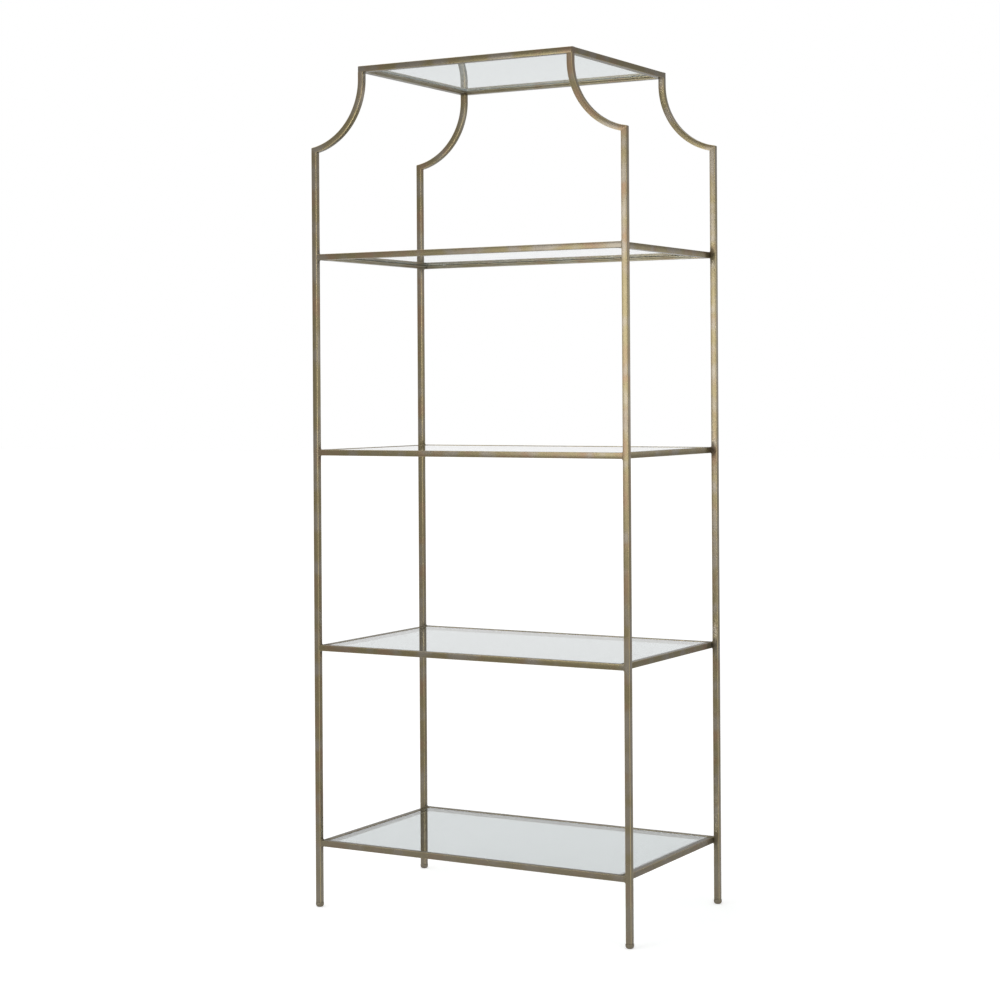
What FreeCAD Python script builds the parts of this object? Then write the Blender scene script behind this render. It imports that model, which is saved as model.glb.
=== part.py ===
import FreeCAD, Part
import math
import os

# Etagere in square bar and glass. Four legs carry four shelf frames. At the top each leg meets a
# quarter-round shoulder, and the four shoulders carry a narrower top frame. Every frame has a ring
# of angle inside it, and a glass pane lies on that ring on small clear bumpers.
#
# Sizes are in millimetres. X is the width, Y runs from the front (-) to the back (+), Z is up.
# The origin is the middle of the footprint, on the floor.

# Whole object, measured over the bars
OVERALL_WIDTH = 813.6
OVERALL_DEPTH = 473.8
OVERALL_HEIGHT = 1938.0

# Square bar of the legs, shoulders and rails
BAR = 13.5
BAR_EDGE = 0.7  # flat broken along the long edges

# Shelf frames, by their upper faces. The shelves between the lowest and the highest are even.
SHELVES = 4
LOWEST_SHELF = 155.1  # above the floor
HIGHEST_SHELF = 426.0  # below the top of the top frame

# Top frame
TOP_WIDTH = 554.8
TOP_CORNER = 3.0  # radius ground on the upright corners
TOP_OVERHANG = 0.5  # the frame stands this far past the shoulders' outer faces

# Shoulders
SHOULDER_SLOPE = 10.5  # degrees above level where the centre line crosses the leg's own
SHOULDER_STRAIGHT = 15.2  # upright stretch below the top frame
SHOULDER_TIP = 2.0  # radius on the outer corner over the leg
SHOULDER_LAND = 1.0  # outer face left upright between that corner and the mitre

# Angle inside the frames: its upper leg is the ledge for the glass
LEDGE_WIDTH = 12.0
LEDGE_THICKNESS = 2.4
LEDGE_ROOT = 1.0  # flat inside the angle
LEDGE_TOE = 0.6  # flat on the ledge's upper edge

# Glass
GLASS_THICKNESS = 5.0
GLASS_RECESS = 0.8  # from the rails' upper faces down to the pane
GLASS_GAP = 1.5  # all round, to the rails
GLASS_CORNER = 3.0
GLASS_ARRIS = 0.5

# Clear bumpers on the front and back ledges
BUMPER_DIAMETER = 7.0
BUMPER_THICKNESS = 1.0
BUMPER_FROM_CORNER = 70.0  # a bumper's centre to the frame's end

# Button feet
FOOT_DIAMETER = 19.0
FOOT_HEIGHT = 10.6
FOOT_CHAMFER = 4.0  # round the underside
STEM_DIAMETER = 6.0
STEM_LENGTH = 18.0
STEM_CLEARANCE = 0.05  # on the radius
STEM_END_ROOM = 1.0  # bore past the stem's end

ACROSS = FreeCAD.Vector(1, 0, 0)
ALONG = FreeCAD.Vector(0, 1, 0)
UP = FreeCAD.Vector(0, 0, 1)
ORIGIN = FreeCAD.Vector(0, 0, 0)

# Places that several pieces share
leg_outer_x = OVERALL_WIDTH / 2
leg_inner_x = leg_outer_x - BAR
leg_x = leg_outer_x - BAR / 2
leg_y = OVERALL_DEPTH / 2 - BAR / 2
between_legs = 2 * leg_inner_x
shelf_pitch = (OVERALL_HEIGHT - HIGHEST_SHELF - LOWEST_SHELF) / (SHELVES - 1)
glass_drop = GLASS_RECESS + GLASS_THICKNESS
angle_height = BAR - glass_drop - BUMPER_THICKNESS

# The shoulder's centre line is an arc about (bend_x, bend_z): upright at the top frame, and nearly
# level over the leg.
top_post_x = TOP_WIDTH / 2 - TOP_OVERHANG - BAR / 2
bend_radius = (leg_x - top_post_x) / (1 - math.sin(math.radians(SHOULDER_SLOPE)))
bend_x = top_post_x + bend_radius
top_underside = OVERALL_HEIGHT - BAR
bend_z = top_underside - SHOULDER_STRAIGHT
inside_bend = bend_radius - BAR / 2
outside_bend = bend_radius + BAR / 2


def from_bend(radius, angle):
    """Point in the XZ plane at an angle about the bend's centre, 180 degrees being inboard."""
    turn = math.radians(angle)
    return FreeCAD.Vector(bend_x + radius * math.cos(turn), 0, bend_z + radius * math.sin(turn))


def below_bend(radius, x):
    """Angle at which a circle about the bend's centre crosses the upright line at x, below it."""
    return 360 - math.degrees(math.acos((x - bend_x) / radius))


def arc_about_bend(radius, start, end):
    middle = (start + end) / 2
    points = [from_bend(radius, angle) for angle in (start, middle, end)]
    return Part.Arc(*points).toShape()


# The mitre between leg and shoulder runs from the shoulder's underside at the leg's inner face to
# the outer face, just under the rounded tip.
tip_radius_from_bend = inside_bend + SHOULDER_TIP
tip_angle = below_bend(tip_radius_from_bend, leg_outer_x - SHOULDER_TIP)
tip_centre = from_bend(tip_radius_from_bend, tip_angle)
tip_start = FreeCAD.Vector(leg_outer_x, 0, tip_centre.z)
tip_end = from_bend(inside_bend, tip_angle)
mitre_outer = FreeCAD.Vector(leg_outer_x, 0, tip_centre.z - SHOULDER_LAND)
mitre_inner = from_bend(outside_bend, below_bend(outside_bend, leg_inner_x))


def rounded_rectangle(width, depth, radius):
    """Face in the XY plane, centred on the origin, with rounded corners."""
    edges = []
    previous_end = None
    first_start = None
    for quarter, (side_x, side_y) in enumerate(((1, 1), (-1, 1), (-1, -1), (1, -1))):
        centre = FreeCAD.Vector(side_x * (width / 2 - radius), side_y * (depth / 2 - radius), 0)
        angles = [math.radians(90 * quarter + step) for step in (0, 45, 90)]
        arc = [centre + FreeCAD.Vector(radius * math.cos(a), radius * math.sin(a), 0) for a in angles]
        if previous_end:
            edges.append(Part.makeLine(previous_end, arc[0]))
        else:
            first_start = arc[0]
        edges.append(Part.Arc(*arc).toShape())
        previous_end = arc[2]
    edges.append(Part.makeLine(previous_end, first_start))
    return Part.Face(Part.Wire(edges))


def centred_bar(length):
    """Bar along X with broken long edges, its middle at the origin."""
    bar = Part.makeBox(length, BAR, BAR, FreeCAD.Vector(-length, -BAR, -BAR) / 2)
    long_edges = [edge for edge in bar.Edges if abs(edge.Vertexes[0].X - edge.Vertexes[-1].X) > BAR]
    return bar.makeChamfer(BAR_EDGE, long_edges)


def make_leg():
    """Right front leg: bar with a mitred top and a bore for the foot's stem."""
    corners = [
        FreeCAD.Vector(leg_inner_x, 0, FOOT_HEIGHT),
        FreeCAD.Vector(leg_outer_x, 0, FOOT_HEIGHT),
        mitre_outer,
        mitre_inner,
    ]
    side = Part.Face(Part.makePolygon(corners + corners[:1]))
    side.translate(ALONG * (-leg_y - BAR / 2))
    leg = side.extrude(ALONG * BAR)
    upright = [edge for edge in leg.Edges if abs(edge.tangentAt(edge.FirstParameter).z) > 0.999]
    leg = leg.makeChamfer(BAR_EDGE, upright)
    bore = Part.makeCylinder(
        STEM_DIAMETER / 2 + STEM_CLEARANCE,
        STEM_LENGTH + STEM_END_ROOM,
        FreeCAD.Vector(leg_x, -leg_y, FOOT_HEIGHT),
        UP,
    )
    return leg.cut(bore)


def make_shoulder():
    """Right front shoulder: drawn from the side, extruded to the bar's width, edges broken."""
    mitre_angle = below_bend(outside_bend, leg_inner_x)
    top_inboard = FreeCAD.Vector(bend_x - outside_bend, 0, top_underside)
    top_outboard = FreeCAD.Vector(bend_x - inside_bend, 0, top_underside)
    to_outer = tip_start - tip_centre
    to_upper = tip_end - tip_centre
    tip_middle = tip_centre + (to_outer + to_upper).normalize() * SHOULDER_TIP
    edges = [
        Part.makeLine(top_inboard, from_bend(outside_bend, 180)),
        arc_about_bend(outside_bend, 180, mitre_angle),
        Part.makeLine(mitre_inner, mitre_outer),
        Part.makeLine(mitre_outer, tip_start),
        Part.Arc(tip_start, tip_middle, tip_end).toShape(),
        arc_about_bend(inside_bend, tip_angle, 180),
        Part.makeLine(from_bend(inside_bend, 180), top_outboard),
        Part.makeLine(top_outboard, top_inboard),
    ]
    side = Part.Face(Part.Wire(edges))
    side.translate(ALONG * (-leg_y - BAR / 2))
    shoulder = side.extrude(ALONG * BAR)
    mitre_middle = (mitre_inner + mitre_outer) / 2

    def is_long(edge):
        """True for the edges that run along the bar, and not for those of its two cut ends."""
        middle = edge.CenterOfMass
        crosses = abs(edge.Vertexes[0].Y - edge.Vertexes[-1].Y) > BAR / 2
        at_top = abs(middle.z - top_underside) < 0.001
        at_mitre = math.hypot(middle.x - mitre_middle.x, middle.z - mitre_middle.z) < 0.001
        return not (crosses or at_top or at_mitre)

    return shoulder.makeChamfer(BAR_EDGE, [edge for edge in shoulder.Edges if is_long(edge)])


def make_foot():
    """Right front foot: turned button with a chamfered underside, and its stem."""
    rim = FOOT_DIAMETER / 2
    stem = STEM_DIAMETER / 2
    stem_top = FOOT_HEIGHT + STEM_LENGTH
    profile = [
        (0, 0),
        (rim - FOOT_CHAMFER, 0),
        (rim, FOOT_CHAMFER),
        (rim, FOOT_HEIGHT),
        (stem, FOOT_HEIGHT),
        (stem, stem_top),
        (0, stem_top),
    ]
    corners = [FreeCAD.Vector(from_axis, 0, z) for from_axis, z in profile]
    foot = Part.Face(Part.makePolygon(corners + corners[:1])).revolve(ORIGIN, UP, 360)
    foot.translate(FreeCAD.Vector(leg_x, -leg_y, 0))
    return foot


def make_corner_rail(length):
    """Front or back rail of the top frame: its outer upright corners are ground round."""
    plan = rounded_rectangle(length, 2 * BAR, TOP_CORNER)
    plan.translate(UP * (-BAR / 2))
    keep = Part.makeBox(length, BAR, BAR, FreeCAD.Vector(-length / 2, -BAR, -BAR / 2))
    rail = plan.extrude(UP * BAR).common(keep)
    level = [edge for edge in rail.Edges if abs(edge.Vertexes[0].Z - edge.Vertexes[-1].Z) < 0.001]
    rail = rail.makeChamfer(BAR_EDGE, level)
    rail.translate(ALONG * (BAR / 2))
    return rail


def make_frame(width, top, ground):
    """Four rails of one frame: the front and back rails run through, the end rails butt on them.

    The corners are ground round only where they stand free, as they do on the top frame.
    """
    middle = top - BAR / 2
    front = make_corner_rail(width) if ground else centred_bar(width)
    back = front.copy()
    back.rotate(ORIGIN, UP, 180)
    front.translate(FreeCAD.Vector(0, -leg_y, middle))
    back.translate(FreeCAD.Vector(0, leg_y, middle))
    rails = {"front": front, "back": back}
    for name, side in (("left", -1), ("right", 1)):
        rail = centred_bar(OVERALL_DEPTH - 2 * BAR)
        rail.rotate(ORIGIN, UP, 90)
        rail.translate(FreeCAD.Vector(side * (width - BAR) / 2, 0, middle))
        rails[name] = rail
    return rails


def make_ledge_strip(length):
    """Angle along X with mitred ends. Its back lies on the XZ plane, its ledge on top points to +Y."""
    under = angle_height - LEDGE_THICKNESS
    profile = [
        (0, 0),
        (LEDGE_THICKNESS, 0),
        (LEDGE_THICKNESS, under - LEDGE_ROOT),
        (LEDGE_THICKNESS + LEDGE_ROOT, under),
        (LEDGE_WIDTH, under),
        (LEDGE_WIDTH, angle_height - LEDGE_TOE),
        (LEDGE_WIDTH - LEDGE_TOE, angle_height),
        (0, angle_height),
    ]
    corners = [FreeCAD.Vector(-length / 2, inward, z) for inward, z in profile]
    strip = Part.Face(Part.makePolygon(corners + corners[:1])).extrude(ACROSS * length)
    mitred = [
        FreeCAD.Vector(-length / 2, 0, 0),
        FreeCAD.Vector(length / 2, 0, 0),
        FreeCAD.Vector(length / 2 - LEDGE_WIDTH, LEDGE_WIDTH, 0),
        FreeCAD.Vector(LEDGE_WIDTH - length / 2, LEDGE_WIDTH, 0),
    ]
    plan = Part.Face(Part.makePolygon(mitred + mitred[:1]))
    return strip.common(plan.extrude(UP * angle_height))


def make_ledge(width, top):
    """Ring of four mitred angles against the rails' inner faces, level with their undersides."""
    clear_width = width - 2 * BAR
    clear_depth = OVERALL_DEPTH - 2 * BAR
    strips = []
    for quarter, (length, away) in enumerate(((clear_width, clear_depth), (clear_depth, clear_width)) * 2):
        strip = make_ledge_strip(length)
        strip.translate(FreeCAD.Vector(0, -away / 2, top - BAR))
        strip.rotate(ORIGIN, UP, 90 * quarter)
        strips.append(strip)
    return Part.makeCompound(strips)


def make_bumpers(width, top):
    """Four clear discs under the pane, two on the front ledge and two on the back one."""
    end_x = width / 2 - BUMPER_FROM_CORNER
    y = OVERALL_DEPTH / 2 - BAR - LEDGE_WIDTH / 2
    discs = []
    for bumper_x in (-end_x, end_x):
        for bumper_y in (-y, y):
            base = FreeCAD.Vector(bumper_x, bumper_y, top - glass_drop - BUMPER_THICKNESS)
            discs.append(Part.makeCylinder(BUMPER_DIAMETER / 2, BUMPER_THICKNESS, base, UP))
    return Part.makeCompound(discs)


def make_glass(width, top):
    """Clear pane with rounded corners and a fine arris, resting on the bumpers."""
    margin = 2 * (BAR + GLASS_GAP)
    plan = rounded_rectangle(width - margin, OVERALL_DEPTH - margin, GLASS_CORNER)
    plan.translate(UP * (top - glass_drop))
    pane = plan.extrude(UP * GLASS_THICKNESS)
    rims = [edge for edge in pane.Edges if abs(edge.Vertexes[0].Z - edge.Vertexes[-1].Z) < 0.001]
    return pane.makeChamfer(GLASS_ARRIS, rims)


def mirrored(shape, side_x, side_y):
    """Copy of a right front piece for another corner of the object."""
    if side_x < 0:
        shape = shape.mirror(ORIGIN, ACROSS)
    if side_y > 0:
        shape = shape.mirror(ORIGIN, ALONG)
    return shape


nodes = {}

for depth_name, side_y in (("front", -1), ("back", 1)):
    for width_name, side_x in (("left", -1), ("right", 1)):
        place = f"{depth_name}_{width_name}"
        nodes[f"leg_{place}"] = mirrored(make_leg(), side_x, side_y)
        nodes[f"shoulder_{place}"] = mirrored(make_shoulder(), side_x, side_y)
        nodes[f"foot_{place}"] = mirrored(make_foot(), side_x, side_y)

levels = []
for shelf in range(SHELVES):
    shelf_top = LOWEST_SHELF + shelf * shelf_pitch
    levels.append((f"shelf_{shelf + 1}", between_legs, shelf_top, False))
levels.append(("top", TOP_WIDTH, OVERALL_HEIGHT, True))

for level, frame_width, frame_top, ground in levels:
    for rail_place, rail in make_frame(frame_width, frame_top, ground).items():
        nodes[f"{level}_rail_{rail_place}"] = rail
    nodes[f"{level}_glass_ledge"] = make_ledge(frame_width, frame_top)
    nodes[f"{level}_bumpers"] = make_bumpers(frame_width, frame_top)
    nodes[f"{level}_glass"] = make_glass(frame_width, frame_top)

os.makedirs("parts", exist_ok=True)
for name, shape in nodes.items():
    shape.exportStep(f"parts/{name}.step")

print(f"{len(nodes)} nodes, {sum(len(shape.Solids) for shape in nodes.values())} solids")
print(f"shoulder bend radius {bend_radius:.1f}, leg top {mitre_outer.z:.1f} mm")
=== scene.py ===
# %% [markdown]
# # An etagere in square bar and glass
#
# This notebook dresses a tall open shelf. Its frame is slim square bar, welded together and given
# an antique brass finish, and five panes of clear glass lie loose inside it. Each step says what
# the piece is on the real object, how it could be made, and why this way was chosen.

# %% Load the fixed frame
import math
import bpy
import numpy as np
from mathutils import Matrix, Vector


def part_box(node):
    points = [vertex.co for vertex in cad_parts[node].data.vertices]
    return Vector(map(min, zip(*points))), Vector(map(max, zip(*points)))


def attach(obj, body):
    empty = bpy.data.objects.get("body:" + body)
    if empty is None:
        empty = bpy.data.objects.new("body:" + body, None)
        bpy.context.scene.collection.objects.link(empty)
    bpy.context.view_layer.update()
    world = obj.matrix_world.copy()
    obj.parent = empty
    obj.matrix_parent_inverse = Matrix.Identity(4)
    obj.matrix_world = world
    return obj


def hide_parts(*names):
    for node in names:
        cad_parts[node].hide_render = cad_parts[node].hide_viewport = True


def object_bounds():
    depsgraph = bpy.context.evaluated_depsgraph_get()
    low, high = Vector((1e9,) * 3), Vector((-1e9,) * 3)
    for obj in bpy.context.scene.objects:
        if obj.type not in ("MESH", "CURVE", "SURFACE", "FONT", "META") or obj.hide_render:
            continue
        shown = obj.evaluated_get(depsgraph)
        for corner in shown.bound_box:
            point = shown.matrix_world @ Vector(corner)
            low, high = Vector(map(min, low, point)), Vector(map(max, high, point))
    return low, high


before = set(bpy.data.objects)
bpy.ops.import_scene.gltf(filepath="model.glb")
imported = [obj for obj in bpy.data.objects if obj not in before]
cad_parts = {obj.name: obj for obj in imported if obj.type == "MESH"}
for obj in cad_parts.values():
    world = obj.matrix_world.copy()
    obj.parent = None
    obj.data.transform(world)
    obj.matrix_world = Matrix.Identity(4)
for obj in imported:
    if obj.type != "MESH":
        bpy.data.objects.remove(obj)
cad_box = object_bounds()
SIZE = cad_box[1] - cad_box[0]
print(f"{len(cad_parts)} nodes, {SIZE.x:.3f} x {SIZE.y:.3f} x {SIZE.z:.3f} m")

# %% [markdown]
# ## Sizes that every step shares
#
# The solids already hold every size. Measuring them here, and not typing numbers again, means the
# dressed pieces follow the solids whenever those change. A leg gives the bar's width, and the
# lower face of a shoulder gives the place of the mitre. Only the softness of the long edges is
# chosen here: it is a little rounder than the flat on the solids, so that it catches the light.

# %% Measure the solids
NEAR_LEG = "leg_front_right"
leg_low, leg_high = (Vector(corner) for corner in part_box(NEAR_LEG))
BAR = leg_high.x - leg_low.x
HALF = BAR / 2
EDGE_RADIUS = 0.001
LEG_X = (leg_low.x + leg_high.x) / 2
LEG_Y = -(leg_low.y + leg_high.y) / 2
SHELF_TOPS = [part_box(f"shelf_{n}_rail_front")[1][2] for n in range(1, 5)]
TOP_LOW, TOP_HIGH = (Vector(corner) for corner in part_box("top_rail_front"))
FRAMES = ["shelf_1", "shelf_2", "shelf_3", "shelf_4", "top"]
print(f"bar {BAR * 1000:.1f} mm, shelves at", [round(z, 3) for z in SHELF_TOPS])


# %% Helper: a mesh object from points and faces
def mesh_object(name, points, faces):
    """Mesh object from points and faces, with its place in its own points."""
    mesh = bpy.data.meshes.new(name)
    mesh.from_pydata([tuple(p) for p in points], [], [tuple(f) for f in faces])
    mesh.update()
    piece = bpy.data.objects.new(name, mesh)
    bpy.context.scene.collection.objects.link(piece)
    return piece


def crisp(piece, degrees=12):
    """Soft along gentle curves, sharp across everything that turns faster."""
    piece.data.shade_smooth()
    piece.data.set_sharp_from_angle(angle=math.radians(degrees))


def dress(piece, slot, *nodes):
    """Put a finished piece on the frame in place of its solids."""
    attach(piece, "root")
    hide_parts(*nodes)


# %% [markdown]
# ## Node groups for the finish
#
# Antique brass is brass darkened with a chemical and rubbed back, so it is never one colour. The
# dark finish pools into olive, red brown and grey patches about five centimetres long and turns
# greyer near the floor. Along the edges of the bar it is gold, partly rubbed wear and partly a
# painted highlight, and in the inner corners of the joints it is dull and carries painted shade.
# Each effect could be painted on a picture, but a procedural group costs no memory, has no seams,
# and can serve several materials.

# %% Helper: a short way to write node trees
def new_group(name, inputs, outputs, kind="ShaderNodeTree"):
    tree = bpy.data.node_groups.new(name, kind)
    for label, socket, value in inputs:
        made = tree.interface.new_socket(name=label, in_out="INPUT", socket_type=socket)
        if value is not None:
            made.default_value = value
    for label, socket in outputs:
        tree.interface.new_socket(name=label, in_out="OUTPUT", socket_type=socket)
    return tree, tree.nodes.new("NodeGroupInput"), tree.nodes.new("NodeGroupOutput")


def add(tree, kind, inputs=None, **settings):
    """One node: settings are its properties, inputs its socket values or the sockets to link."""
    node = tree.nodes.new(kind)
    for key, value in settings.items():
        setattr(node, key, value)
    for key, value in (inputs or {}).items():
        if isinstance(value, bpy.types.NodeSocket):
            tree.links.new(value, node.inputs[key])
        else:
            node.inputs[key].default_value = value
    return node


def maths(tree, operation, *values):
    return add(tree, "ShaderNodeMath", dict(enumerate(values)), operation=operation).outputs[0]


def smooth_step(tree, value, low, high):
    """0 below low, 1 above high, with an eased ramp between."""
    inputs = {"Value": value, "From Min": low, "From Max": high}
    return add(tree, "ShaderNodeMapRange", inputs, interpolation_type="SMOOTHSTEP").outputs[0]


def mix_colours(tree, share, first, second, blend="MIX"):
    inputs = {0: share, 6: first, 7: second}
    return add(tree, "ShaderNodeMix", inputs, data_type="RGBA", blend_type=blend).outputs[2]


def noise_value(tree, vector, scale, detail=2.0):
    inputs = {"Vector": vector, "Scale": scale, "Detail": detail}
    return add(tree, "ShaderNodeTexNoise", inputs).outputs[0]


def object_place(tree):
    return add(tree, "ShaderNodeTexCoord").outputs["Object"]


# %% Helper: screen colours
def srgb(red, green, blue):
    """Linear colour of a screen colour from 0 to 255."""
    shares = [c / 255 for c in (red, green, blue)]
    return (*[s / 12.92 if s <= 0.04045 else ((s + 0.055) / 1.055) ** 2.4 for s in shares], 1)


# %% Group: patches of patina
patina, enter, leave = new_group(
    "patina_patches",
    [
        ("Vector", "NodeSocketVector", None),
        ("Patch size", "NodeSocketFloat", 0.05),
        ("Olive", "NodeSocketColor", (0.2, 0.17, 0.1, 1)),
        ("Red brown", "NodeSocketColor", (0.2, 0.13, 0.08, 1)),
        ("Grey brown", "NodeSocketColor", (0.2, 0.18, 0.14, 1)),
        ("Near the floor", "NodeSocketColor", srgb(120, 113, 100)),
    ],
    [("Color", "NodeSocketColor"), ("Mask", "NodeSocketFloat")],
)
density = maths(patina, "DIVIDE", 1.0, enter.outputs["Patch size"])
OTHER_PLACE = (3.7, 1.3, 5.1)
FLOOR_GREY = 0.65
where = enter.outputs["Vector"]
moved = add(patina, "ShaderNodeVectorMath", {0: where, 1: OTHER_PLACE}, operation="ADD").outputs[0]
first_noise = noise_value(patina, where, density, 1.5)
second_noise = noise_value(patina, moved, density, 1.5)
red_share = smooth_step(patina, first_noise, 0.46, 0.70)
grey_share = smooth_step(patina, second_noise, 0.44, 0.66)
height = add(patina, "ShaderNodeSeparateXYZ", {0: where}).outputs[2]
low_down = maths(patina, "SUBTRACT", 1.0, smooth_step(patina, height, 0.04, 0.3))
low_down = maths(patina, "MULTIPLY", low_down, FLOOR_GREY)
toned = mix_colours(patina, red_share, enter.outputs["Olive"], enter.outputs["Red brown"])
toned = mix_colours(patina, grey_share, toned, enter.outputs["Grey brown"])
toned = mix_colours(patina, low_down, toned, enter.outputs["Near the floor"])
patina.links.new(toned, leave.inputs["Color"])
patina.links.new(first_noise, leave.inputs["Mask"])
print("group:", patina.name)

# %% [markdown]
# ### Where the rubbed edges are
#
# A square bar has no texture map, but its section is simple. Every bar carries an attribute with
# three lengths: how far along the bar a point is, and how far it stands from the bar's centre line
# sideways both ways. On a face one of those two is half the bar, so the smaller one tells how near
# the point is to an edge. That works on straight bars and on bent ones alike.

# %% Group: rubbed edges of a bar, partly a painted highlight
EDGE_ATTRIBUTE = "bar_place"
wear_and_highlight, enter, leave = new_group(
    "rubbed_edges_and_painted_highlight",
    [
        ("Half bar", "NodeSocketFloat", HALF),
        ("Width", "NodeSocketFloat", 0.0011),
        ("Breaks", "NodeSocketFloat", 0.4),
        ("Break length", "NodeSocketFloat", 0.06),
    ],
    [("Mask", "NodeSocketFloat")],
)
place = add(wear_and_highlight, "ShaderNodeAttribute", attribute_name=EDGE_ATTRIBUTE)
split = add(wear_and_highlight, "ShaderNodeSeparateXYZ", {0: place.outputs["Vector"]})
sideways = [maths(wear_and_highlight, "ABSOLUTE", split.outputs[axis]) for axis in (1, 2)]
inset = maths(wear_and_highlight, "SUBTRACT", enter.outputs["Half bar"], maths(wear_and_highlight, "MINIMUM", *sideways))
density = maths(wear_and_highlight, "DIVIDE", 1.0, enter.outputs["Break length"])
noise = noise_value(wear_and_highlight, place.outputs["Vector"], density, 1.5)
breaks = maths(wear_and_highlight, "MULTIPLY", maths(wear_and_highlight, "SUBTRACT", noise, 0.35), 4.0)
held = maths(wear_and_highlight, "SUBTRACT", 1.0, enter.outputs["Breaks"])
inputs = {0: breaks, 1: enter.outputs["Breaks"], 2: held}
breaks = add(wear_and_highlight, "ShaderNodeMath", inputs, operation="MULTIPLY_ADD", use_clamp=True).outputs[0]
# The gold these edges get is partly rubbed wear and partly a painted highlight along the rounded edges.
near = maths(wear_and_highlight, "SUBTRACT", 1.0, smooth_step(wear_and_highlight, inset, 0.0, enter.outputs["Width"]))
wear_and_highlight.links.new(maths(wear_and_highlight, "MULTIPLY", near, breaks), leave.inputs["Mask"])
print("group:", wear_and_highlight.name)

# %% Group: fine lines left by rubbing along the bar
lines, enter, leave = new_group(
    "rubbing_lines",
    [("Across", "NodeSocketFloat", 1500.0), ("Along", "NodeSocketFloat", 45.0)],
    [("Value", "NodeSocketFloat")],
)
place = add(lines, "ShaderNodeAttribute", attribute_name=EDGE_ATTRIBUTE)
across = enter.outputs["Across"]
stretch = add(lines, "ShaderNodeCombineXYZ", {0: enter.outputs["Along"], 1: across, 2: across})
inputs = {0: place.outputs["Vector"], 1: stretch.outputs[0]}
drawn = add(lines, "ShaderNodeVectorMath", inputs, operation="MULTIPLY").outputs[0]
lines.links.new(noise_value(lines, drawn, 1.0, 1.0), leave.inputs["Value"])
print("group:", lines.name)

# %% [markdown]
# ### Where the welds were made hot
#
# The rails meet each leg on its inner sides, where shade gathers in the corners, so the painted
# shade and the dullness go there and not on the outer faces. The mask measures from the corner of
# the leg that faces inwards, at the level of each shelf. It counts a distance outwards nearly
# double, and a little noise makes its rim ragged.

# %% Group: painted shade and dullness round the joints
corner_shade, enter, leave = new_group(
    "corner_shade_and_dullness",
    [
        ("Corner x", "NodeSocketFloat", LEG_X - HALF),
        ("Corner y", "NodeSocketFloat", LEG_Y - HALF),
        ("Lowest", "NodeSocketFloat", SHELF_TOPS[0] - HALF),
        ("Pitch", "NodeSocketFloat", SHELF_TOPS[1] - SHELF_TOPS[0]),
        ("Reach", "NodeSocketFloat", 0.026),
    ],
    [("Mask", "NodeSocketFloat")],
)
OUTWARD = 1.9
RAGGED = 0.008
FULL_SHADE_REACH = 0.012
where = object_place(corner_shade)
split = add(corner_shade, "ShaderNodeSeparateXYZ", {0: where})
from_corner = []
for axis, side in ((0, "Corner x"), (1, "Corner y")):
    outward = maths(corner_shade, "SUBTRACT", maths(corner_shade, "ABSOLUTE", split.outputs[axis]), enter.outputs[side])
    inward = maths(corner_shade, "MULTIPLY", outward, -1.0)
    from_corner.append(maths(corner_shade, "MAXIMUM", maths(corner_shade, "MULTIPLY", outward, OUTWARD), inward))
half_pitch = maths(corner_shade, "MULTIPLY", enter.outputs["Pitch"], 0.5)
above = maths(corner_shade, "SUBTRACT", split.outputs[2], enter.outputs["Lowest"])
above = maths(corner_shade, "ADD", above, half_pitch)
above = maths(corner_shade, "FLOORED_MODULO", above, enter.outputs["Pitch"])
level = maths(corner_shade, "SUBTRACT", above, half_pitch)
offset = add(corner_shade, "ShaderNodeCombineXYZ", {0: from_corner[0], 1: from_corner[1], 2: level})
away = add(corner_shade, "ShaderNodeVectorMath", {0: offset.outputs[0]}, operation="LENGTH").outputs[1]
ragged = maths(corner_shade, "SUBTRACT", noise_value(corner_shade, where, 90.0, 3.0), 0.5)
away = maths(corner_shade, "MULTIPLY_ADD", ragged, RAGGED, away)
near = maths(corner_shade, "SUBTRACT", 1.0, smooth_step(corner_shade, away, FULL_SHADE_REACH, enter.outputs["Reach"]))
corner_shade.links.new(near, leave.inputs["Mask"])
print("group:", corner_shade.name)

# %% [markdown]
# ### Where the panes are ground
#
# A glazier grinds the cut edges of a pane, so they are matt and look grey green. Only the last
# fraction of a millimetre is ground, and a mask of the distance to the pane's sides finds it. The
# top pane is narrower than the four others, so the height decides which width is meant.

# %% Group: ground edges of the panes
BELOW_TOP_PANE = 0.1
pane_high = Vector(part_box("shelf_1_glass")[1])
top_pane_low, top_pane_high = (Vector(corner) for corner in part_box("top_glass"))
ground, enter, leave = new_group(
    "ground_edges",
    [
        ("Half depth", "NodeSocketFloat", pane_high.y),
        ("Half width", "NodeSocketFloat", pane_high.x),
        ("Half width of top", "NodeSocketFloat", top_pane_high.x),
        ("Top starts", "NodeSocketFloat", top_pane_low.z - BELOW_TOP_PANE),
        ("Band", "NodeSocketFloat", 0.0007),
    ],
    [("Mask", "NodeSocketFloat")],
)
split = add(ground, "ShaderNodeSeparateXYZ", {0: object_place(ground)})
is_top = maths(ground, "GREATER_THAN", split.outputs[2], enter.outputs["Top starts"])
narrower = maths(ground, "SUBTRACT", enter.outputs["Half width"], enter.outputs["Half width of top"])
narrower = maths(ground, "MULTIPLY", is_top, narrower)
half_width = maths(ground, "SUBTRACT", enter.outputs["Half width"], narrower)
sides = []
for axis, half in ((0, half_width), (1, enter.outputs["Half depth"])):
    inset = maths(ground, "SUBTRACT", half, maths(ground, "ABSOLUTE", split.outputs[axis]))
    sides.append(maths(ground, "LESS_THAN", inset, enter.outputs["Band"]))
ground.links.new(maths(ground, "MAXIMUM", *sides), leave.inputs["Mask"])
print("group:", ground.name)
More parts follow.
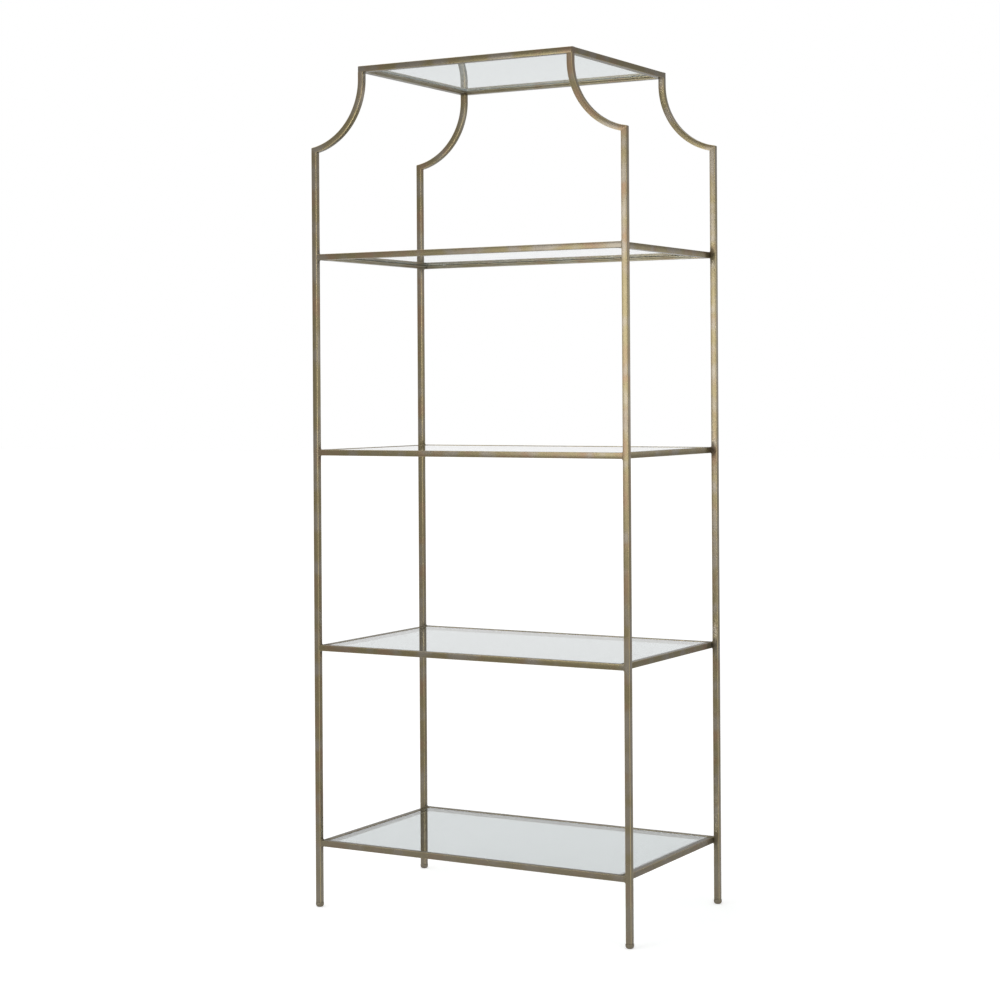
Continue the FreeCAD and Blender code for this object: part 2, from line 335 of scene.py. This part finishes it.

# %% [markdown]
# ## Materials
#
# The bars use the patches, the rubbed edges with their painted highlight, the lines and the painted
# shade at the joints. The rails are a shade darker than the legs, a painted shade for the duller
# reflection of the rails, and the gold on the legs' edges is wider, more painted highlight along
# their corners. The angles and the feet have only the patches and the painted shade at the joints.
# The angles are paler.
#
# The glass is real refractive glass. It is nearly clear seen square on, and the deeper tint of
# plate glass comes in where it is seen aslant. Its ground edges are matt. Light that only passes
# through on its way to the floor takes a short cut through a transparent shader, so the panes don't
# throw black shadows.

# %% Helper: start a material
def new_material(name):
    material = bpy.data.materials.new(name)
    material.use_nodes = True
    tree = material.node_tree
    shader = tree.nodes["Principled BSDF"]
    return material, tree, shader


def use_group(tree, group, inputs=None):
    return add(tree, "ShaderNodeGroup", inputs, node_tree=group)


# %% Brass materials
PATINA_ROUGH = 0.12
CORNER_ROUGH = 0.32
PAINTED_SHADE_SHARE = 0.1
SHADE_HIDES_GOLD = 0.8
STREAK = 0.24
RUBBED_SMOOTH = 0.05


def brass(name, tones, roughness, slant_tint=0.76, edge_width=None):
    """Antique brass. Pieces with an edge width are bars, and carry the attribute of a bar."""
    material, tree, shader = new_material(name)
    colours = {"Olive": tones["olive"], "Red brown": tones["red"], "Grey brown": tones["grey"]}
    patches = use_group(tree, patina, {"Vector": object_place(tree), **colours})
    colour = patches.outputs["Color"]
    grain = patches.outputs["Mask"]
    near_corner = use_group(tree, corner_shade).outputs["Mask"]
    rough = maths(tree, "MULTIPLY_ADD", grain, PATINA_ROUGH, roughness - PATINA_ROUGH / 2)
    rough = maths(tree, "MULTIPLY_ADD", near_corner, CORNER_ROUGH, rough)
    painted_shade = maths(tree, "MULTIPLY", near_corner, PAINTED_SHADE_SHARE)
    if edge_width:
        grain = use_group(tree, lines).outputs["Value"]
        streak = maths(tree, "MULTIPLY_ADD", grain, STREAK, 1 - STREAK / 2)
        shade = add(tree, "ShaderNodeCombineColor", {0: streak, 1: streak, 2: streak}).outputs[0]
        colour = mix_colours(tree, 1.0, colour, shade, "MULTIPLY")
    # Painted shade in the inner corners of the joints: the colour is mixed towards the shade tone.
    colour = mix_colours(tree, painted_shade, colour, tones["shade_tone"])
    if edge_width:
        # Gold along the edges: partly rubbed wear, partly a painted highlight.
        rubbed_and_highlight = use_group(tree, wear_and_highlight, {"Width": edge_width}).outputs["Mask"]
        spared = maths(tree, "SUBTRACT", 1.0, maths(tree, "MULTIPLY", painted_shade, SHADE_HIDES_GOLD))
        rubbed_and_highlight = maths(tree, "MULTIPLY", rubbed_and_highlight, spared)
        colour = mix_colours(tree, rubbed_and_highlight, colour, tones["gold_wear_and_highlight"])
        rough = maths(tree, "SUBTRACT", rough, maths(tree, "MULTIPLY", rubbed_and_highlight, RUBBED_SMOOTH))
    bump = add(tree, "ShaderNodeBump", {"Strength": 0.06, "Distance": 0.0001, "Height": grain})
    tree.links.new(colour, shader.inputs["Base Color"])
    tree.links.new(rough, shader.inputs["Roughness"])
    tree.links.new(bump.outputs[0], shader.inputs["Normal"])
    shader.inputs["Metallic"].default_value = 0.85
    shader.inputs["Specular Tint"].default_value = (slant_tint, slant_tint, slant_tint, 1)
    return material


# In each set the gold is partly rubbed wear and partly a painted highlight, and the dark tone is the
# painted shade in the joint corners.
LEG_TONES = dict(
    olive=srgb(103, 94, 70),
    red=srgb(109, 91, 72),
    grey=srgb(110, 103, 91),
    gold_wear_and_highlight=srgb(178, 162, 122),
    shade_tone=srgb(66, 61, 48),
)
# The rail tones are darker than the leg tones: painted shade for the duller reflection of the rails.
RAIL_TONES = dict(
    olive=srgb(98, 90, 67),
    red=srgb(102, 86, 69),
    grey=srgb(103, 97, 87),
    gold_wear_and_highlight=srgb(172, 156, 118),
    shade_tone=srgb(62, 57, 46),
)
ANGLE_TONES = dict(
    olive=srgb(126, 118, 95),
    red=srgb(129, 114, 93),
    grey=srgb(131, 126, 110),
    shade_tone=srgb(58, 54, 42),
)
rail_brass = brass("antique_brass_rail", RAIL_TONES, 0.27, 0.62, edge_width=0.0011)
leg_brass = brass("antique_brass_leg", LEG_TONES, 0.27, edge_width=0.0015)
angle_brass = brass("antique_brass_angle", ANGLE_TONES, 0.36, 1.0)
foot_brass = brass("antique_brass_foot", LEG_TONES, 0.3)
print("materials:", rail_brass.name, leg_brass.name, angle_brass.name, foot_brass.name)

# %% Glass and bumpers
glass, tree, shader = new_material("clear_plate_glass")
haze = noise_value(tree, object_place(tree), 3.0)
deep = mix_colours(tree, haze, srgb(140, 148, 151), srgb(136, 144, 146))
aslant = add(tree, "ShaderNodeLayerWeight", {"Blend": 0.5}).outputs["Facing"]
tint = mix_colours(tree, smooth_step(tree, aslant, 0.35, 0.8), srgb(236, 241, 240), deep)
edges = use_group(tree, ground).outputs["Mask"]
tree.links.new(mix_colours(tree, edges, tint, srgb(126, 146, 138)), shader.inputs["Base Color"])
tree.links.new(maths(tree, "MULTIPLY", edges, 0.4), shader.inputs["Roughness"])
shader.inputs["IOR"].default_value = 1.5
shader.inputs["Transmission Weight"].default_value = 1.0
path = add(tree, "ShaderNodeLightPath")
clear = add(tree, "ShaderNodeBsdfTransparent", {"Color": srgb(246, 249, 248)})
inputs = {0: path.outputs["Is Shadow Ray"], 1: shader.outputs[0], 2: clear.outputs[0]}
choice = add(tree, "ShaderNodeMixShader", inputs)
tree.links.new(choice.outputs[0], tree.nodes["Material Output"].inputs["Surface"])

vinyl, tree, shader = new_material("clear_soft_vinyl")
cloudy = noise_value(tree, object_place(tree), 400.0)
milky = mix_colours(tree, cloudy, srgb(205, 208, 205), srgb(222, 224, 221))
tree.links.new(milky, shader.inputs["Base Color"])
tree.links.new(maths(tree, "MULTIPLY_ADD", cloudy, 0.2, 0.2), shader.inputs["Roughness"])
shader.inputs["Transmission Weight"].default_value = 0.6
print("materials:", glass.name, vinyl.name)

# %% [markdown]
# ## Rails: a Geometry Nodes tree for square bar
#
# Sixteen shelf rails and two short rails of the top frame are the same thing: square bar with
# rounded edges, cut to a length. A cube with a bevel would do for one, but a tree that sweeps a
# rounded square along a line makes every length from two end points, and it can also store the
# attribute that the rubbed edges need. Each bar starts that attribute at another length along, so
# that no two are rubbed alike.

# %% Helper: the end of every tree
def finish_and_leave(tree, geometry, enter, leave):
    """Real geometry with the asked finish on it."""
    real = add(tree, "GeometryNodeRealizeInstances", {"Geometry": geometry})
    inputs = {"Geometry": real.outputs[0], "Material": enter.outputs["Finish"]}
    finish = add(tree, "GeometryNodeSetMaterial", inputs)
    tree.links.new(finish.outputs[0], leave.inputs["Geometry"])


# %% Build the square bar tree
bar_tree, enter, leave = new_group(
    "square_bar",
    [
        ("Start", "NodeSocketVector", None),
        ("End", "NodeSocketVector", None),
        ("Bar", "NodeSocketFloat", BAR),
        ("Edge radius", "NodeSocketFloat", 0.001),
        ("Along from", "NodeSocketFloat", 0.0),
        ("Finish", "NodeSocketMaterial", None),
    ],
    [("Geometry", "NodeSocketGeometry")],
    "GeometryNodeTree",
)
ends = {"Start": enter.outputs["Start"], "End": enter.outputs["End"]}
run = add(bar_tree, "GeometryNodeCurvePrimitiveLine", ends)
upright = add(bar_tree, "GeometryNodeSetCurveNormal", {"Curve": run.outputs[0]}, mode="Z_UP")
sofar = add(bar_tree, "GeometryNodeSplineParameter").outputs["Length"]
keep_run = add(bar_tree, "GeometryNodeCaptureAttribute", {"Geometry": upright.outputs[0]})
keep_run.capture_items.new("FLOAT", "Along")
bar_tree.links.new(sofar, keep_run.inputs["Along"])

across = {"Width": enter.outputs["Bar"], "Height": enter.outputs["Bar"]}
square = add(bar_tree, "GeometryNodeCurvePrimitiveQuadrilateral", across)
rounding = {"Curve": square.outputs[0], "Radius": enter.outputs["Edge radius"], "Count": 4}
rounded = add(bar_tree, "GeometryNodeFilletCurve", rounding, mode="POLY")
keep_section = add(bar_tree, "GeometryNodeCaptureAttribute", {"Geometry": rounded.outputs[0]})
keep_section.capture_items.new("VECTOR", "Section")
position = add(bar_tree, "GeometryNodeInputPosition").outputs[0]
bar_tree.links.new(position, keep_section.inputs["Section"])

curves = {"Curve": keep_run.outputs[0], "Profile Curve": keep_section.outputs[0], "Fill Caps": True}
sweep = add(bar_tree, "GeometryNodeCurveToMesh", curves)
section = add(bar_tree, "ShaderNodeSeparateXYZ", {0: keep_section.outputs["Section"]})
along = maths(bar_tree, "ADD", keep_run.outputs["Along"], enter.outputs["Along from"])
where = add(bar_tree, "ShaderNodeCombineXYZ", {0: along, 1: section.outputs[0], 2: section.outputs[1]})
kept = {"Geometry": sweep.outputs[0], "Name": EDGE_ATTRIBUTE}
kind = {"data_type": "FLOAT_VECTOR", "domain": "POINT"}
store = add(bar_tree, "GeometryNodeStoreNamedAttribute", kept, **kind)
bar_tree.links.new(where.outputs[0], store.inputs["Value"])
finish_and_leave(bar_tree, store.outputs[0], enter, leave)
print("tree:", bar_tree.name, "with", len(bar_tree.nodes), "nodes")


# %% Helper: run a tree once and keep its plain mesh
def grow(name, tree, values, start=None):
    """Object from a Geometry Nodes tree, with the modifier gone afterwards."""
    start = start or bpy.data.meshes.new(name + "_start")
    seedling = bpy.data.objects.new(name, start)
    bpy.context.scene.collection.objects.link(seedling)
    modifier = seedling.modifiers.new(tree.name, "NODES")
    modifier.node_group = tree
    for item in tree.interface.items_tree:
        if item.in_out == "INPUT" and item.name in values:
            modifier[item.identifier] = values[item.name]
    graph = bpy.context.evaluated_depsgraph_get()
    grown = seedling.evaluated_get(graph)
    mesh = bpy.data.meshes.new_from_object(grown, preserve_all_data_layers=True, depsgraph=graph)
    seedling.modifiers.clear()
    seedling.data = mesh
    mesh.name = name
    return seedling


# %% Make the rails
SHIFT_ALONG = 1.7
made = 0
for level in FRAMES:
    sides = ["left", "right"] if level == "top" else ["front", "back", "left", "right"]
    for side in sides:
        node = f"{level}_rail_{side}"
        low, high = (Vector(corner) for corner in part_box(node))
        middle = (low + high) / 2
        axis = 0 if side in ("front", "back") else 1
        reach = Vector((0, 0, 0))
        reach[axis] = (high[axis] - low[axis]) / 2
        values = {
            "Start": tuple(middle - reach),
            "End": tuple(middle + reach),
            "Bar": BAR,
            "Edge radius": EDGE_RADIUS,
            "Along from": SHIFT_ALONG * made,
            "Finish": rail_brass,
        }
        rail = grow(node + "_bar", bar_tree, values)
        crisp(rail)
        dress(rail, "antique_brass", node)
        made += 1
print(made, "rails,", len(rail.data.polygons), "faces each")

# %% [markdown]
# ## Legs, shoulders and the ground corners of the top frame
#
# A leg ends in a slanted cut, and a shoulder starts from that cut, turns its outer corner and
# climbs in a quarter round. Sweeping a square along a line pinches it at a slanted cut, so these
# bars are drawn the way a template is: a pair of lines for the two sides of the bar, with rungs
# between them like a ladder. Each rung becomes one ring of the mesh.

# %% Helper: a bar between two side lines
EDGE_STEPS = 4


def ring_section():
    """Places round a rounded square, from -1 to 1 both ways."""
    soft = EDGE_RADIUS / HALF
    flat = 1 - soft
    places = []
    for quarter, (sx, sy) in enumerate(((1, 1), (-1, 1), (-1, -1), (1, -1))):
        for step in range(EDGE_STEPS + 1):
            turn = math.radians(90 * (quarter + step / EDGE_STEPS))
            places.append((sx * flat + soft * math.cos(turn), sy * flat + soft * math.sin(turn)))
    return places


def turn_outwards(piece):
    """Flip every face if the closed mesh is inside out."""
    mesh = piece.data
    volume = sum(face.center.dot(face.normal) * face.area for face in mesh.polygons)
    if volume < 0:
        mesh.flip_normals()
        mesh.update()


def ladder_bar(name, first_line, second_line, thickness, along_from, material):
    """Bar whose two sides follow two lines of points; thickness is a vector across it."""
    section = ring_section()
    points, places = [], []
    travelled = along_from
    previous = None
    for first, second in zip(first_line, second_line):
        centre = (first + second) / 2
        travelled += (centre - previous).length if previous else 0
        previous = centre
        for u, v in section:
            points.append(centre + (second - first) / 2 * u + thickness * v)
            places.append((travelled, u * HALF, v * HALF))
    count = len(section)
    faces = []
    for ring in range(len(first_line) - 1):
        for corner in range(count):
            a = ring * count + corner
            b = ring * count + (corner + 1) % count
            faces.append((a, b, b + count, a + count))
    faces.append(tuple(reversed(range(count))))
    faces.append(tuple(range(len(points) - count, len(points))))
    piece = mesh_object(name, points, faces)
    layer = piece.data.attributes.new(EDGE_ATTRIBUTE, "FLOAT_VECTOR", "POINT")
    layer.data.foreach_set("vector", np.array(places, dtype=np.float32).ravel())
    turn_outwards(piece)
    crisp(piece)
    piece.data.materials.append(material)
    return piece


# %% [markdown]
# ### The bend of a shoulder
#
# The arc of a shoulder's lower side touches its inboard face and passes through the inner end of
# the mitre. Two such facts fix its radius, so the arc needs no size of its own.

# %% Find the bend of the shoulders
STRAIGHT = 0.0152
TIP = 0.002
shoulder_low, shoulder_high = (Vector(corner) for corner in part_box("shoulder_front_right"))
bend_z = shoulder_high.z - STRAIGHT
reach = leg_low.x - shoulder_low.x
drop = bend_z - shoulder_low.z
outside_bend = (reach**2 + drop**2) / (2 * reach)
inside_bend = outside_bend - BAR
bend_x = shoulder_low.x + outside_bend
bend_radius = (inside_bend + outside_bend) / 2
print(f"bend radius {bend_radius * 1000:.1f} mm about x {bend_x:.3f}, z {bend_z:.3f}")


def from_bend(radius, degrees):
    turn = math.radians(degrees)
    return Vector((bend_x + radius * math.cos(turn), 0, bend_z + radius * math.sin(turn)))


# %% [markdown]
# ### The side lines
#
# A leg is straight, so three rungs are enough: its foot, one about half way up, and the mitre. A
# shoulder's lower line ends on the inner end of the mitre, while its upper line still has to go
# round the tip. Rungs that share one lower end would fold the ring, so each keeps a hair's breadth
# from the next.

# %% Draw the side lines of a leg and its shoulder
MIDDLE_RUNG = 0.9
RUNGS = 48
TIP_STEPS = 5
HAIR = 0.0002
mitre_inner = Vector((leg_low.x, 0, shoulder_low.z))
mitre_outer = Vector((leg_high.x, 0, leg_high.z))
leg_lines = [
    [Vector((leg_low.x, 0, leg_low.z)), Vector((leg_low.x, 0, MIDDLE_RUNG)), mitre_inner],
    [Vector((leg_high.x, 0, leg_low.z)), Vector((leg_high.x, 0, MIDDLE_RUNG)), mitre_outer],
]

tip_x = leg_high.x - TIP
tip_degrees = 360 - math.degrees(math.acos((tip_x - bend_x) / (inside_bend + TIP)))
mitre_degrees = 360 - math.degrees(math.acos((leg_low.x - bend_x) / outside_bend))
tip_centre = from_bend(inside_bend + TIP, tip_degrees)
tip_turn = 180 - tip_degrees
lower = [Vector((shoulder_low.x, 0, shoulder_high.z))]
upper = [Vector((shoulder_low.x + BAR, 0, shoulder_high.z))]
for rung in range(RUNGS + 1):
    share = rung / RUNGS
    lower.append(from_bend(outside_bend, 180 + share * (mitre_degrees - 180)))
    upper.append(from_bend(inside_bend, 180 + share * (tip_degrees - 180)))
for step in range(1, TIP_STEPS + 1):
    turn = math.radians(tip_degrees - 180 + tip_turn * step / TIP_STEPS)
    upper.append(tip_centre + Vector((math.cos(turn), 0, math.sin(turn))) * TIP)
    lower.append(mitre_inner.copy())
upper.append(mitre_outer)
lower.append(mitre_inner.copy())
back_along = (lower[-2 * (TIP_STEPS + 1)] - mitre_inner).normalized()
for back in range(1, TIP_STEPS + 2):
    lower[-1 - back] = mitre_inner + back_along * HAIR * back
shoulder_lines = [lower, upper]
print(len(lower), "rungs on a shoulder,", len(leg_lines[0]), "on a leg")


# %% Make the four legs and shoulders
LEG_SHIFT = 40


def at_corner(line, side_x, y):
    """The line at another corner of the object."""
    return [Vector((side_x * point.x, y, point.z)) for point in line]


for depth, side_y in (("front", -1), ("back", 1)):
    for width, side_x in (("left", -1), ("right", 1)):
        place = f"{depth}_{width}"
        thickness = Vector((0, HALF, 0))
        along_from = LEG_SHIFT + 3 * side_x + 11 * side_y
        for kind, (first, second) in (("leg", leg_lines), ("shoulder", shoulder_lines)):
            first = at_corner(first, side_x, side_y * LEG_Y)
            second = at_corner(second, side_x, side_y * LEG_Y)
            along_from += 5
            bar = ladder_bar(f"{kind}_{place}_bar", first, second, thickness, along_from, leg_brass)
            dress(bar, "antique_brass", f"{kind}_{place}")
print("shoulder:", len(bar.data.polygons), "faces")


# %% Make the front and back rails of the top frame
CORNER = 0.003
CORNER_STEPS = 8
TOP_RAIL_SHIFT = 90
half_top = TOP_HIGH.x
for side, name in ((-1, "front"), (1, "back")):
    inner_y = side * (LEG_Y - HALF)
    outer_y = side * (LEG_Y + HALF)
    outer, inner = [], []
    for step in range(CORNER_STEPS + 1):
        turn = math.radians(90 * step / CORNER_STEPS)
        x = half_top - CORNER + CORNER * math.sin(turn)
        outer.append(Vector((x, outer_y - side * CORNER * (1 - math.cos(turn)), TOP_LOW.z + HALF)))
        inner.append(Vector((x, inner_y, TOP_LOW.z + HALF)))
    flip = [Vector((-point.x, point.y, point.z)) for point in reversed(outer)]
    flip_inner = [Vector((-point.x, point.y, point.z)) for point in reversed(inner)]
    node = f"top_rail_{name}"
    inner_line = flip_inner + inner
    outer_line = flip + outer
    upwards = Vector((0, 0, HALF))
    rail = ladder_bar(node + "_bar", inner_line, outer_line, upwards, TOP_RAIL_SHIFT + side, rail_brass)
    dress(rail, "antique_brass", node)
print("top rail:", len(rail.data.polygons), "faces")

# %% [markdown]
# ## Feet
#
# Each leg stands on a turned button with a domed rim. Turning is what a lathe does: one side line
# is carried round an axis. The line is drawn as points here and spun in code, and the two points on
# the axis close it.

# %% Turn the feet
foot_low, foot_high = (Vector(corner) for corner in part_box("foot_front_right"))
FOOT_RADIUS = (foot_high.x - foot_low.x) / 2
FOOT_TOP = leg_low.z
DOME = 0.006
DOME_STEPS = 8
RIM = 0.0015
RIM_STEPS = 4
AROUND = 48


def foot_side():
    """Radius and height down the side of a foot, from the bottom to the leg."""
    side = [(FOOT_RADIUS - DOME, 0.0)]
    for step in range(1, DOME_STEPS + 1):
        turn = math.radians(90 * step / DOME_STEPS)
        side.append((FOOT_RADIUS - DOME * (1 - math.sin(turn)), DOME * (1 - math.cos(turn))))
    for step in range(RIM_STEPS + 1):
        turn = math.radians(90 * step / RIM_STEPS)
        radius = FOOT_RADIUS - RIM * (1 - math.cos(turn))
        side.append((radius, FOOT_TOP - RIM * (1 - math.sin(turn))))
    return side


side = foot_side()
for depth, side_y in (("front", -1), ("back", 1)):
    for width, side_x in (("left", -1), ("right", 1)):
        centre = Vector((side_x * LEG_X, side_y * LEG_Y, 0))
        points = [centre.copy()]
        for radius, height in side:
            for spoke in range(AROUND):
                turn = 2 * math.pi * spoke / AROUND
                out = Vector((math.cos(turn), math.sin(turn), 0)) * radius
                points.append(centre + out + Vector((0, 0, height)))
        points.append(centre + Vector((0, 0, FOOT_TOP)))
        last = len(points) - 1
        faces = []
        for spoke in range(AROUND):
            after = (spoke + 1) % AROUND
            faces.append((0, 1 + after, 1 + spoke))
            for ring in range(len(side) - 1):
                a, b = 1 + ring * AROUND + spoke, 1 + ring * AROUND + after
                faces.append((a, b, b + AROUND, a + AROUND))
            top = 1 + (len(side) - 1) * AROUND
            faces.append((top + spoke, top + after, last))
        foot = mesh_object(f"foot_{depth}_{width}_button", points, faces)
        turn_outwards(foot)
        crisp(foot, 30)
        foot.data.materials.append(foot_brass)
        dress(foot, "foot_brass", f"foot_{depth}_{width}")
print("foot:", len(foot.data.polygons), "faces, radius", round(FOOT_RADIUS * 1000, 2), "mm")

# %% [markdown]
# ## Weld beads: droplets along a seam
#
# Where a shelf frame meets a leg, the welder leaves a short bead above and below the rail. A bead
# is a row of molten droplets that overlap, so a tree that scatters small spheres of uneven size
# along a seam makes one with very little. Each seam is a two point edge, and the tree takes all of
# the seams at once.

# %% Build the weld bead tree
bead_tree, enter, leave = new_group(
    "weld_beads",
    [
        ("Seams", "NodeSocketGeometry", None),
        ("Droplet spacing", "NodeSocketFloat", 0.0016),
        ("Droplet radius", "NodeSocketFloat", 0.0022),
        ("Unevenness", "NodeSocketFloat", 0.25),
        ("Seed", "NodeSocketInt", 7),
        ("Finish", "NodeSocketMaterial", None),
    ],
    [("Geometry", "NodeSocketGeometry")],
    "GeometryNodeTree",
)
seam = add(bead_tree, "GeometryNodeMeshToCurve", {"Mesh": enter.outputs["Seams"]})
inputs = {"Curve": seam.outputs[0], "Length": enter.outputs["Droplet spacing"]}
dots = add(bead_tree, "GeometryNodeResampleCurve", inputs, mode="LENGTH")
inputs = {"Segments": 8, "Rings": 5, "Radius": enter.outputs["Droplet radius"]}
ball = add(bead_tree, "GeometryNodeMeshUVSphere", inputs)
least = maths(bead_tree, "SUBTRACT", 1.0, enter.outputs["Unevenness"])
size = add(bead_tree, "FunctionNodeRandomValue", {"Seed": enter.outputs["Seed"]}, data_type="FLOAT")
bead_tree.links.new(least, size.inputs[2])
size.inputs[3].default_value = 1.0
soft = add(bead_tree, "GeometryNodeSetShadeSmooth", {"Geometry": ball.outputs[0]})
inputs = {"Points": dots.outputs[0], "Instance": soft.outputs[0], "Scale": size.outputs[1]}
scatter = add(bead_tree, "GeometryNodeInstanceOnPoints", inputs)
finish_and_leave(bead_tree, scatter.outputs[0], enter, leave)
print("tree:", bead_tree.name, "with", len(bead_tree.nodes), "nodes")

# %% Mark the seams and run the beads
SUNK = 0.0004
SEAM_END = 0.0025
points, edges = [], []
for side_y in (-1, 1):
    for side_x in (-1, 1):
        for top in SHELF_TOPS:
            for z in (top + SUNK, top - BAR - SUNK):
                x = side_x * (leg_low.x - SUNK)
                for y in (LEG_Y - HALF + SEAM_END, LEG_Y + HALF - SEAM_END):
                    points.append((x, side_y * y, z))
                edges.append((len(points) - 2, len(points) - 1))
seams = bpy.data.meshes.new("weld_seams")
seams.from_pydata(points, edges, [])
values = {
    "Droplet spacing": 0.0016,
    "Droplet radius": 0.0022,
    "Unevenness": 0.25,
    "Seed": 7,
    "Finish": angle_brass,
}
beads = grow("weld_bead_rows", bead_tree, values, seams)
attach(beads, "root")
print("weld beads:", len(edges), "seams,", len(beads.data.polygons), "faces")

# %% [markdown]
# ## What stays as it was made
#
# The angles that carry the glass, the panes and the small clear bumpers already have their real
# shape. They keep their meshes and only get a finish.

# %% Finish the solids that stay
for level in FRAMES:
    for part_name, material in (("glass_ledge", angle_brass), ("glass", glass), ("bumpers", vinyl)):
        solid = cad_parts[f"{level}_{part_name}"]
        solid.data.materials.clear()
        solid.data.materials.append(material)
print("finished:", 3 * len(FRAMES), "solids")

# %% [markdown]
# ## Floor, light and camera
#
# The object stands on a pale floor that runs on into a white surrounding. A soft key lamp at the
# left front lights the fronts of the bars, a tall one at the right front draws their edges, a weak
# one behind on the right touches their sides, and a large one overhead fills the rest. The camera
# sees the floor as white through the Light Path node, so no extra light is needed, and the floor
# still takes the object's shadow.

# %% Helper: what looks at the surroundings
def seen_share(tree):
    """1 for rays from the camera, from a mirror image or through glass, 0 for light."""
    path = add(tree, "ShaderNodeLightPath")
    seen = maths(tree, "MAXIMUM", path.outputs["Is Camera Ray"], path.outputs["Is Glossy Ray"])
    return maths(tree, "MAXIMUM", seen, path.outputs["Is Transmission Ray"])


# %% Floor
FAR = 30
corners = [(-FAR, -FAR, 0), (FAR, -FAR, 0), (FAR, FAR, 0), (-FAR, FAR, 0)]
floor = mesh_object("floor", corners, [(0, 1, 2, 3)])
paper, tree, shader = new_material("pale_floor")
shader.inputs["Base Color"].default_value = (0.8, 0.8, 0.8, 1)
shader.inputs["Roughness"].default_value = 1.0
shader.inputs["Specular IOR Level"].default_value = 0.0
away = add(tree, "ShaderNodeVectorMath", {0: object_place(tree)}, operation="LENGTH").outputs[1]
ramp = {"Value": away, "From Min": 1.0, "From Max": 7.0, "To Min": 0.5, "To Max": 0.66}
lift = add(tree, "ShaderNodeMapRange", ramp).outputs[0]
glow = add(tree, "ShaderNodeEmission", {"Strength": maths(tree, "MULTIPLY", seen_share(tree), lift)})
both = add(tree, "ShaderNodeAddShader", {0: shader.outputs[0], 1: glow.outputs[0]})
tree.links.new(both.outputs[0], tree.nodes["Material Output"].inputs["Surface"])
floor.data.materials.append(paper)
print("floor:", 2 * FAR, "m across")

# %% World
LAMP_LEVEL = 0.55
world = bpy.data.worlds.new("studio")
bpy.context.scene.world = world
world.use_nodes = True
tree = world.node_tree
strength = maths(tree, "MULTIPLY_ADD", seen_share(tree), 1.0 - LAMP_LEVEL, LAMP_LEVEL)
background = tree.nodes["Background"]
background.inputs["Color"].default_value = (1, 1, 1, 1)
tree.links.new(strength, background.inputs["Strength"])
print("world:", world.name)


# %% Lamps
def soft_lamp(name, place, aim, width, height, watts):
    """Rectangular area lamp that looks from its place at its aim."""
    data = bpy.data.lights.new(name, "AREA")
    data.shape = "RECTANGLE"
    data.size = width
    data.size_y = height
    data.energy = watts
    lamp = bpy.data.objects.new(name, data)
    lamp.location = place
    lamp.rotation_euler = (Vector(aim) - Vector(place)).to_track_quat("-Z", "Y").to_euler()
    bpy.context.scene.collection.objects.link(lamp)


soft_lamp("key", (-0.9, -3.4, 1.42), (0.1, 0, 1.3), 1.3, 1.3, 30)
soft_lamp("back", (2.3, 3.3, 1.4), (0.2, 0, 1.25), 0.8, 0.8, 4)
soft_lamp("edge", (3.9, -2.5, 1.3), (0, 0, 1.1), 0.8, 2.0, 24)
soft_lamp("overhead", (-1.5, -0.5, 4.2), (0, 0, 0.5), 2.5, 2.5, 35)

# %% Camera
CAMERA_PLACE = Vector((2.4644, -4.3940, 1.1960))
AZIMUTH = math.radians(29.702)
PITCH = math.radians(-0.013)
ROLL = math.radians(-0.354)
FOCAL_PIXELS = 2171.6
PICTURE_PIXELS = 1000
CENTRE_DOWN_PIXELS = 390.149
SENSOR_MM = 36
level_ahead = Vector((-math.sin(AZIMUTH), math.cos(AZIMUTH), 0))
ahead = level_ahead * math.cos(PITCH) + Vector((0, 0, math.sin(PITCH)))
level_right = Vector((math.cos(AZIMUTH), math.sin(AZIMUTH), 0))
level_up = level_right.cross(ahead)
right = level_right * math.cos(ROLL) + level_up * math.sin(ROLL)
up = level_up * math.cos(ROLL) - level_right * math.sin(ROLL)
camera_data = bpy.data.cameras.new("camera")
camera_data.sensor_width = SENSOR_MM
camera_data.lens = FOCAL_PIXELS / PICTURE_PIXELS * SENSOR_MM
camera_data.shift_y = -(PICTURE_PIXELS / 2 - CENTRE_DOWN_PIXELS) / PICTURE_PIXELS
camera_data.clip_end = 100
camera = bpy.data.objects.new("camera", camera_data)
camera.matrix_world = Matrix((right, up, -ahead)).transposed().to_4x4()
camera.location = CAMERA_PLACE
bpy.context.scene.collection.objects.link(camera)
bpy.context.scene.camera = camera
bpy.context.scene.view_settings.view_transform = "Standard"
print(f"camera lens {camera_data.lens:.1f} mm")
